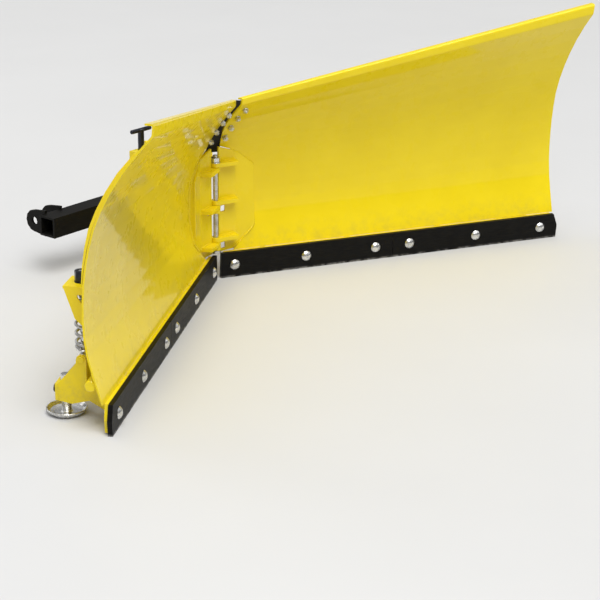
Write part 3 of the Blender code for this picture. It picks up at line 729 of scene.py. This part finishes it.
# ---------------------------------------------------------------- hinge

def hinge_lug(top):
    outline = arc((0, 0), EYE_RADIUS, 115, 268, 28)
    outline += [(0.0460, -0.0040), (0.0460, PLATE_FRONT + 0.001), (0.0155, PLATE_EDGE_Y + 0.004)]
    return prism(outline, top - LUG_THICK, top, [circle((0, 0), PIN_HOLE)], edge=0.0009)


def lug_tops(side):
    drop = 0 if side > 0 else LEFT_LUG_DROP
    return [top - drop for top in LUG_TOPS]


def along_edge(step=0.006):
    """Points at even steps along the plate's outline."""
    points = []
    for (x1, z1), (x2, z2) in zip(PLATE_EDGE, PLATE_EDGE[1:]):
        count = max(1, round(sqrt((x2 - x1)**2 + (z2 - z1)**2) / step))
        points += [(x1 + (x2 - x1) * i / count, z1 + (z2 - z1) * i / count) for i in range(count)]
    return points + [PLATE_EDGE[-1]]


def plate_wall(start, end):
    """Stretch of wall from the plate's edge back to the hollow of the sheet."""
    inward = Vector((start[1] - end[1], end[0] - start[0])).normalized() * 0.0030
    loops = []
    for x, z in (start, end):
        near = PLATE_BACK - 0.0015
        deep = max(front_y(x, z) + 0.001, PLATE_BACK - 0.0005)
        loops.append([(x, near, z), (x, deep, z), (x + inward.x, deep, z + inward.y),
                      (x + inward.x, near, z + inward.y)])
    return close_ends(skin(loops))


def hinge_bracket(side):
    """Folded plate with its lugs, and the fill between its edge and the hollow of the sheet."""
    front = [(PLATE_EDGE_X, PLATE_EDGE_Y), (PLATE_FOLD_X - 0.002, PLATE_FRONT - 0.0007),
             (PLATE_FOLD_X + 0.002, PLATE_FRONT), (0.0900, PLATE_FRONT)]
    back = [(0.0900, PLATE_BACK), (PLATE_FOLD_X, PLATE_BACK), (PLATE_FOLD_X - 0.004, PLATE_BACK - 0.0009),
            (0.0072, 0.0099)]
    folded = prism(front + back, 0.0450, 0.2650, edge=0)
    outline = [(0, 0.0515), *PLATE_EDGE, (0, 0.2640)]
    outside = [(-0.01, 0.03), (0.11, 0.03), (0.11, 0.28), (-0.01, 0.28)]
    trim = prism(outside, -0.020, 0.050, [outline], "XZ", edge=0)
    notches = []
    for low, high in NOTCHES:
        corners = [(-0.002, low), (NOTCH_REACH, low), (NOTCH_REACH, high), (-0.002, high)]
        notches.append(prism(corners, -0.010, 0.040, plane="XZ", edge=0))
    plate = soften(cut(folded, trim, *notches), 0.0007)
    walls = []
    for start, end in zip(along_edge(), along_edge()[1:]):
        if max(front_y(*start), front_y(*end)) >= PLATE_BACK - 0.001:
            walls.append(plate_wall(start, end))
    return join(plate, *walls, *[hinge_lug(top) for top in lug_tops(side)])


def fold_y(x):
    """Front face of the hinge plate at x."""
    share = min(1.0, (x - PLATE_EDGE_X) / (PLATE_FOLD_X - PLATE_EDGE_X))
    return PLATE_EDGE_Y + (PLATE_FRONT - PLATE_EDGE_Y) * share


def hinge_welds(side):
    """Beads round the plate, and above and below each lug."""
    route = [(x, max(front_y(x, z) - 0.0003, PLATE_FRONT - 0.0002), z) for x, z in along_edge()]
    beads = [bead(route, 0.0026)]
    for top in lug_tops(side):
        for z in (top + 0.0004, top - LUG_THICK - 0.0004):
            beads.append(bead([(x, fold_y(x) - 0.0003, z) for x in (0.0145, 0.030, 0.0455)], 0.0016))
        corner = (0.0465, PLATE_FRONT - 0.0003)
        beads.append(bead([(*corner, top), (*corner, top - LUG_THICK)], 0.0014))
    return join(*beads)


def hinge_pin_parts():
    centre = centre_matrix(1)
    foot, shank_top, stud_top = 0.0570, 0.2320, 0.2470
    shank = turned([(0, foot), (PIN_RADIUS, foot), (PIN_RADIUS, shank_top), (0.0048, shank_top + 0.0002),
                    (0, shank_top + 0.0002)], (0, 0, 0))
    head = nut((0, 0, 0), PIN_FLATS, 0.0515, 0.0580, 0)
    end = thread(PIN_RADIUS - 0.0001, 0.2318, stud_top, (0, 0, 0), pitch=0.0015)
    add("hinge_pin_fine", join(shank, head, end), "spring_steel", "centre", centre, ["hinge_pin"])
    fixing = nut((0, 0, 0), PIN_FLATS, 0.2341, 0.2430, PIN_HOLE)
    add("hinge_nut_fine", fixing, "zinc", "centre", centre, ["hinge_nut"])
    washer = turned([(PIN_HOLE, 0.2323), (0.0098, 0.2323), (0.0100, 0.2325), (0.0100, 0.2335),
                     (0.0097, 0.2338), (PIN_HOLE, 0.2338)], (0, 0, 0), ring=True)
    add("hinge_washer_fine", washer, "zinc", "centre", centre, ["hinge_washer"])


# ---------------------------------------------------------------- fasteners, springs, skid

def strip_bolt(x):
    """Cup-head bolt with its neck, nut and threaded end."""
    place = (x, 0, BOLT_Z)
    face = STRIP_FRONT - GAP
    dome = [(BOLT_DOME_RADIUS * sin(a), face - 0.0002 - (BOLT_DOME_RADIUS * cos(a) - BOLT_DOME_DROP))
            for a in (asin(BOLT_HEAD_RADIUS / BOLT_DOME_RADIUS) * i / 9 for i in range(10))]
    head = turned([*dome, (BOLT_HEAD_RADIUS, face), (0, face)], place, "Y")
    neck = turned([(0, -0.0045), (BOLT_RADIUS, -0.0045), (BOLT_RADIUS, 0.0110), (0, 0.0110)], place, "Y", 24)
    end = thread(BOLT_RADIUS, 0.0108, 0.0190, place, "Y")
    fixing = nut(place, M8_FLATS, BAR_BACK + GAP, BAR_BACK + 0.0068, BOLT_RADIUS + 0.0001, "Y")
    return join(head, neck, end, fixing)


def skid_shoe():
    """Dish with a rolled rim, and its stem."""
    dish = [(0, 0), (0.0195, 0)] + arc((0.0200, 0.0100), 0.0100, -85, -62, 4) + [(0.0292, 0.0030)]
    dish += arc((0.0316, 0.0087), 0.0013, -30, 150, 6) + [(0.0262, 0.0049)]
    dish += arc((0.0190, 0.0085), 0.0050, -60, -90, 4) + arc((0.0110, 0.0065), 0.0030, -90, -180, 5)
    stem = [(0.0080, 0.0655)] + arc((0.0072, 0.0657), 0.0008, 0, 90, 4) + [(0, 0.0665)]
    return turned(dish + stem, (SKID_X, SKID_Y, 0), sides=64)


def set_bolt():
    place = (SKID_X, 0, 0.041)
    return join(thread(0.0038, SKID_Y + 0.0085, 0.1066, place, "Y"),
                nut(place, M8_FLATS, 0.1063, 0.1120, 0, "Y"))


def spring_rod():
    """Rod with its threaded top, the spring's seat and the boss round the cross pin."""
    foot = (SKID_X, EYE_Y, 0)
    stem = turned([(0, EYE_Z), (0.0040, EYE_Z), (0.0040, 0.2300), (0.0039, 0.2302), (0, 0.2302)],
                  foot, sides=28)
    top = SPRING_SEAT_Z
    seat = turned([(0, top - 0.0025), (0.0109, top - 0.0025), (0.0112, top - 0.0022),
                   (0.0112, top - 0.0004), (0.0108, top), (0, top)], foot)
    end = thread(0.0040, 0.2298, 0.2405, foot)
    boss = turned([(0.0033, -0.0108), (0.0072, -0.0108), (0.0075, -0.0105), (0.0075, 0.0105),
                   (0.0072, 0.0108), (0.0033, 0.0108)], (SKID_X, EYE_Y, EYE_Z), "X", ring=True)
    return join(stem, seat, end, boss)


def spring_nut():
    """Flange nut on top of the spring box."""
    foot = (SKID_X, EYE_Y, 0)
    flange = turned([(0.0043, BOX_TOP + GAP), (0.0101, BOX_TOP + GAP), (0.0104, BOX_TOP + 0.0008),
                     (0.0101, BOX_TOP + 0.0020), (0.0043, BOX_TOP + 0.0020)], foot, ring=True)
    return join(flange, nut(foot, 0.0175, BOX_TOP + 0.0015, BOX_TOP + 0.0190, 0.0043))


def spring_pin():
    out = LEVER_OUT
    profile = [(0, -out - 0.0020), (0.0050, -out - 0.0020), (0.0055, -out - 0.0015), (0.0055, -out - GAP),
               (0.0030, -out - GAP), (0.0030, out + GAP), (0.0055, out + GAP), (0.0055, out + 0.0015),
               (0.0050, out + 0.0020), (0, out + 0.0020)]
    return turned(profile, (SKID_X, EYE_Y, EYE_Z), "X", 32)


def lower_bar():
    """Round bar with chamfered ends, its ears and their welds."""
    start, end = 0.088, 0.744
    chamfer = 0.0012
    r = LOWER_BAR_RADIUS
    body = turned([(0, start), (r - chamfer, start), (r, start + chamfer), (r, end - chamfer),
                   (r - chamfer, end), (0, end)], (0, LOWER_BAR_Y, LOWER_BAR_Z), "X")
    outline = arc((TRIP_Y, TRIP_Z), TRIP_HEAD, 160, 330, 24)
    outline += [(LOWER_BAR_Y + 0.006, LOWER_BAR_Z), (LOWER_BAR_Y - 0.0055, LOWER_BAR_Z)]
    starts = [x - EAR_THICK - 0.0005 for x in EAR_X] + [SKID_X + LEVER_OUT + 0.0005]
    parts = [body]
    for x in starts:
        parts.append(prism(outline, x, x + EAR_THICK, [circle((TRIP_Y, TRIP_Z), PIVOT_HOLE, 28)], "YZ"))
        for face in (x - 0.0003, x + EAR_THICK + 0.0003):
            foot = [(face, LOWER_BAR_Y + r * cos(a), LOWER_BAR_Z + r * sin(a))
                    for a in (radians(angle) for angle in range(-150, -29, 12))]
            parts.append(bead(foot, 0.0012))
    return join(*parts)


def sector_plate(side):
    """Quadrant with five lock holes, spread over the wing's range."""
    low = SECTOR_Z[side]
    inner, outer = SECTOR_RADIUS - 0.018, SECTOR_RADIUS + 0.018
    outline = arc((0, 0), inner, 89, 26, 36) + [(0.1120, 0.0365), (0.1840, 0.0380)]
    outline += [(0.1840, 0.0560)] + arc((0, 0), outer, 24, 89, 40)
    holes = []
    for step in range(5):
        angle = LOCK_ANGLE + SCOOP_ANGLE - WING_RANGE * step / 4
        holes.append(circle((SECTOR_RADIUS * cos(angle), SECTOR_RADIUS * sin(angle)), 0.0066, 32))
    return prism(outline, low, low + SECTOR_THICK, holes, edge=0.0007)


def lock_pin():
    """Pin with a tapered nose, a collar for its spring and a cross handle."""
    x, y = LOCK_AT
    bottom, collar, top = 0.1828, 0.2290, 0.2960
    profile = [(0, bottom), (0.0040, bottom), (0.0045, bottom + 0.0006), (0.0060, bottom + 0.003),
               (0.0060, collar), (0.0082, collar), (0.0085, collar + 0.0003),
               (0.0085, collar + 0.0037), (0.0082, collar + 0.0040), (0.0060, collar + 0.0040),
               (0.0060, top - 0.0010), (0.0052, top), (0, top)]
    shank = turned(profile, (x, y, 0), sides=36)
    reach = 0.026
    grip = [(0, -reach)] + arc((0.0025, -reach + 0.0015), 0.0015, -90, 0, 4)
    grip += arc((0.0025, reach - 0.0015), 0.0015, 0, 90, 4) + [(0, reach)]
    return join(shank, turned(grip, (x, y, top - 0.0025), "X", 24))


def flap_bolt(x, z):
    """Nut, washer and thread end on the sheet's face, with the cup head behind the curtain."""
    y = front_y(x, z)
    slope = (front_y(x, z + 0.004) - front_y(x, z - 0.004)) / 0.008
    shank = thread(0.0029, -0.0085, 0.0080, (0, 0, 0), "Y", 0.0010)
    washer = turned([(0.0030, -0.0013), (0.0056, -0.0013), (0.0058, -0.0010), (0.0058, -0.0001),
                     (0.0030, -0.0001)], (0, 0, 0), "Y", 28, True)
    fixing = nut((0, 0, 0), 0.0095, -0.0064, -0.0014, 0.0029, "Y")
    head = turned([(0, 0.0078), (0.0072, 0.0078), (0.0070, 0.0090), (0.0050, 0.0106), (0.0024, 0.0112),
                   (0, 0.0113)], (0, 0, 0), "Y", 28)
    whole = join(head, shank, washer, fixing)
    tilt = Matrix.Translation((x, y, z)) @ Matrix.Rotation(-slope, 4, "X")
    bmesh.ops.transform(whole, matrix=tilt, verts=whole.verts)
    return whole


# ---------------------------------------------------------------- rubber curtain

def curtain_half():
    """Half of the curtain: bolted behind the sheet's edge, then folded back to the centre plane."""
    to_centre = Matrix.Rotation(-SCOOP_ANGLE, 3, "Z")
    count, behind, folds = 22, 6, 7
    rows = []
    for i in range(count + 1):
        z = CURTAIN_BOTTOM + (CURTAIN_TOP - CURTAIN_BOTTOM) * i / count
        edge = inner_edge_x(back_y(0.030, z))
        reach = CURTAIN_REACH if z > CURTAIN_FOOT else FOOT_REACH
        row = []
        for j in range(behind + 1):
            x = edge + reach - (reach + 0.002) * j / behind
            row.append(Vector((x, back_y(max(x, edge), z) + 0.0008, z)))
        last = to_centre @ row[-1]
        for j in range(1, folds + 1):
            share = j / folds
            wave = FOLD_DEPTH * sin(pi / 2 * share)
            row.append(to_centre.inverted() @ Vector((last.x * (1 - share), last.y + wave, z)))
        rows.append(row)
    bm = bmesh.new()
    grid = [[bm.verts.new(point) for point in row] for row in rows]
    for low, high in zip(grid, grid[1:]):
        for j in range(len(low) - 1):
            bm.faces.new((low[j], low[j + 1], high[j + 1], high[j]))
    recalculate(bm)
    bm.faces.ensure_lookup_table()
    if bm.faces[0].normal.y < 0:
        bmesh.ops.reverse_faces(bm, faces=bm.faces)
    bmesh.ops.solidify(bm, geom=bm.faces[:] + bm.edges[:] + bm.verts[:], thickness=-CURTAIN_THICK)
    return recalculate(bm)


def build_curtain(word, side):
    """Place half of the curtain so that it bends between its wing and the centre plane."""
    wing = wing_matrix(side)
    piece = add(f"curtain_{word}", curtain_half(), "rubber", matrix=wing)
    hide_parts(f"rubber_flap_{word}")
    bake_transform(piece)


# ---------------------------------------------------------------- welds on the back

def rib_welds(x):
    """Beads on both sides of an upright rib."""
    line = board_section(x + RIB_THICK / 2)[1][RIB_ROWS]
    parts = []
    for face in (x - 0.0004, x + RIB_THICK + 0.0004):
        parts.append(bead([(face, y + 0.0012, z) for y, z in line], 0.0017))
    return join(*parts)


def box_welds():
    """Beads down the spring box's sides and across its top."""
    line = board_section(SKID_X)[1][5:8]
    left, right = SKID_X - BOX_HALF, SKID_X + BOX_HALF
    parts = []
    for x in (left - 0.0003, right + 0.0003):
        parts.append(bead([(x, back_y(x, z) + 0.0014, z) for _, z in line], 0.0016))
    top = BOX_TOP + 0.0003
    depth = back_y(SKID_X, top) + 0.0010
    parts.append(bead([(left, depth, top), (right, depth, top)], 0.0016))
    return join(*parts)


def bar_welds():
    """Stitch welds between the round bar and the foot of the sheet."""
    start, length, pitch, count = 0.110, 0.045, 0.0935, 7
    z = LOWER_BAR_Z + LOWER_BAR_RADIUS - 0.0015
    parts = []
    for i in range(count):
        x = start + i * pitch
        depth = back_y(x, z) + 0.0022
        parts.append(bead([(x, depth, z), (x + length, depth, z)], 0.0024))
    return join(*parts)


def sector_welds(side):
    """Beads above and below the quadrant, where it meets the sheet."""
    parts = []
    for z in (SECTOR_Z[side] - 0.0003, SECTOR_Z[side] + SECTOR_THICK + 0.0003):
        along = [millimetres / 1000 for millimetres in range(114, 183, 8)]
        parts.append(bead([(x, back_y(x, z) + 0.0014, z) for x in along], 0.0017))
    return join(*parts)


# ---------------------------------------------------------------- assembly

def build_wing(word, side):
    """One wing with its trip edge, skid shoe and trip spring."""
    wing = wing_matrix(side)
    body, trip, rod_body = f"wing_{word}", f"trip_edge_{word}", f"spring_rod_{word}"
    add(f"board_{word}", mouldboard(), "yellow_paint", body, wing, [f"mouldboard_{word}"], sharp=50)
    add(f"bracket_{word}", hinge_bracket(side), "yellow_paint", body, wing, [f"hinge_bracket_{word}"])
    add(f"bracket_welds_{word}", hinge_welds(side), "yellow_paint", body, wing, sharp=60)
    add(f"bar_{word}", lower_bar(), "yellow_paint", body, wing, [f"lower_bar_{word}"])
    add(f"quadrant_{word}", sector_plate(side), "yellow_paint", body, wing, [f"sector_plate_{word}"])
    welds = [rib_welds(x) for x in RIB_X]
    welds += [box_welds(), bar_welds(), sector_welds(side)]
    add(f"back_welds_{word}", join(*welds), "yellow_paint", body, wing, sharp=60)
    for number, (x, z) in enumerate(FLAP_BOLTS, 1):
        add(f"flap_bolt_{number}_{word}", flap_bolt(x, z), "zinc", body, wing)
    build_curtain(word, side)

    for number, x in enumerate(BOLT_X, 1):
        add(f"cup_bolt_{number}_{word}", strip_bolt(x), "zinc", trip, wing, [f"strip_bolt_{number}_{word}"])
    add(f"skid_bolt_{word}", set_bolt(), "black_oxide", trip, wing, [f"set_bolt_{word}"])
    add(f"rod_pin_{word}", spring_pin(), "yellow_paint", trip, wing, [f"spring_pin_{word}"])
    add(f"skid_{word}", skid_shoe(), "zinc", f"skid_{word}", wing, [f"skid_shoe_{word}"])

    add(f"rod_{word}", spring_rod(), "zinc", rod_body, wing, [f"spring_rod_{word}"])
    add(f"rod_nut_{word}", spring_nut(), "black_oxide", rod_body, wing, [f"spring_nut_{word}"])
    wire = coil((SKID_X, EYE_Y), 0.0105, 0.0025, SPRING_SEAT_Z + GAP, SPRING_TOP_Z, 8.0)
    spring = add(f"spring_{word}", wire, "spring_steel", rod_body, wing, [f"trip_spring_{word}"])
    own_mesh(spring)


def build_locks(word, side):
    """Lock pin, and its spring, which stays in place when the pin moves."""
    place = centre_matrix(side)
    add(f"plunger_{word}", lock_pin(), "black_oxide", f"lock_{word}", place, [f"lock_pin_{word}"])
    low, high = 0.2333, 0.2487
    wire = coil(LOCK_AT, 0.0078, 0.0010, low, high, 4.5, dead=0.6)
    spring = add(f"plunger_spring_{word}", wire, "black_oxide", matrix=place)
    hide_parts(f"lock_spring_{word}")
    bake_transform(spring)


def put(name, data):
    """New object in the scene."""
    piece = bpy.data.objects.new(name, data)
    bpy.context.scene.collection.objects.link(piece)
    return piece


def build_room():
    """Bright room in greys that change with height."""
    world = bpy.data.worlds.new("room")
    world.use_nodes = True
    tree = world.node_tree
    background = tree.nodes["Background"]
    background.inputs["Strength"].default_value = ROOM_BRIGHTNESS
    direction = tree.nodes.new("ShaderNodeTexCoord").outputs["Generated"]
    split = tree.nodes.new("ShaderNodeSeparateXYZ")
    tree.links.new(direction, split.inputs[0])
    grey = tree.nodes.new("ShaderNodeValToRGB")
    height = tree.nodes.new("ShaderNodeMapRange")
    height.inputs["From Min"].default_value = -1.0
    tree.links.new(split.outputs["Z"], height.inputs["Value"])
    tree.links.new(height.outputs["Result"], grey.inputs["Fac"])
    ramp = grey.color_ramp
    for at, value in ROOM_GREYS[1:-1]:
        ramp.elements.new(at)
    for element, (at, value) in zip(ramp.elements, ROOM_GREYS):
        element.position = at
        element.color = (value, value, value, 1)
    tree.links.new(grey.outputs["Color"], background.inputs["Color"])
    bpy.context.scene.world = world


def build_lights():
    """Three soft boxes and a wide, soft sun."""
    for name, place, target, width, watts in SOFT_BOXES:
        data = bpy.data.lights.new(name, "AREA")
        data.shape = "RECTANGLE"
        data.size = width
        data.size_y = width * 0.6
        data.energy = watts
        lamp = put(name, data)
        lamp.location = place
        lamp.rotation_euler = (Vector(target) - Vector(place)).to_track_quat("-Z", "Y").to_euler()
    data = bpy.data.lights.new("overhead", "SUN")
    data.energy = SUN_STRENGTH
    data.angle = SUN_SPREAD
    lamp = put("overhead", data)
    lamp.rotation_euler = Vector(SUN_DIRECTION).to_track_quat("-Z", "Y").to_euler()


def build_floor():
    signs = ((-1, -1), (1, -1), (1, 1), (-1, 1))
    bm = bmesh.new()
    bm.faces.new([bm.verts.new((x * FLOOR_HALF, y * FLOOR_HALF, FLOOR_Z)) for x, y in signs])
    mesh = bpy.data.meshes.new("floor")
    bm.to_mesh(mesh)
    bm.free()
    mesh.materials.append(pale_floor())
    put("floor", mesh)


def build_camera():
    data = bpy.data.cameras.new("camera")
    data.lens = CAMERA_LENS
    data.sensor_width = SENSOR_WIDTH
    look = Vector((sin(CAMERA_YAW) * cos(CAMERA_PITCH), cos(CAMERA_YAW) * cos(CAMERA_PITCH),
                   -sin(CAMERA_PITCH)))
    flat_right = look.cross(Vector((0, 0, 1))).normalized()
    flat_up = flat_right.cross(look)
    right = flat_right * cos(CAMERA_ROLL) + flat_up * sin(CAMERA_ROLL)
    up = flat_up * cos(CAMERA_ROLL) - flat_right * sin(CAMERA_ROLL)
    turn = Matrix((right, up, -look)).transposed().to_4x4()
    camera = put("camera", data)
    camera.matrix_world = Matrix.Translation((CAMERA_X, CAMERA_FROM_HINGE + HINGE_Y, CAMERA_Z)) @ turn
    bpy.context.scene.camera = camera


for word, side in SIDES.items():
    build_wing(word, side)
    build_locks(word, side)
hinge_pin_parts()
refine_cad_nodes()
build_floor()
build_room()
build_lights()
build_camera()
bpy.context.scene.view_settings.view_transform = "Standard"
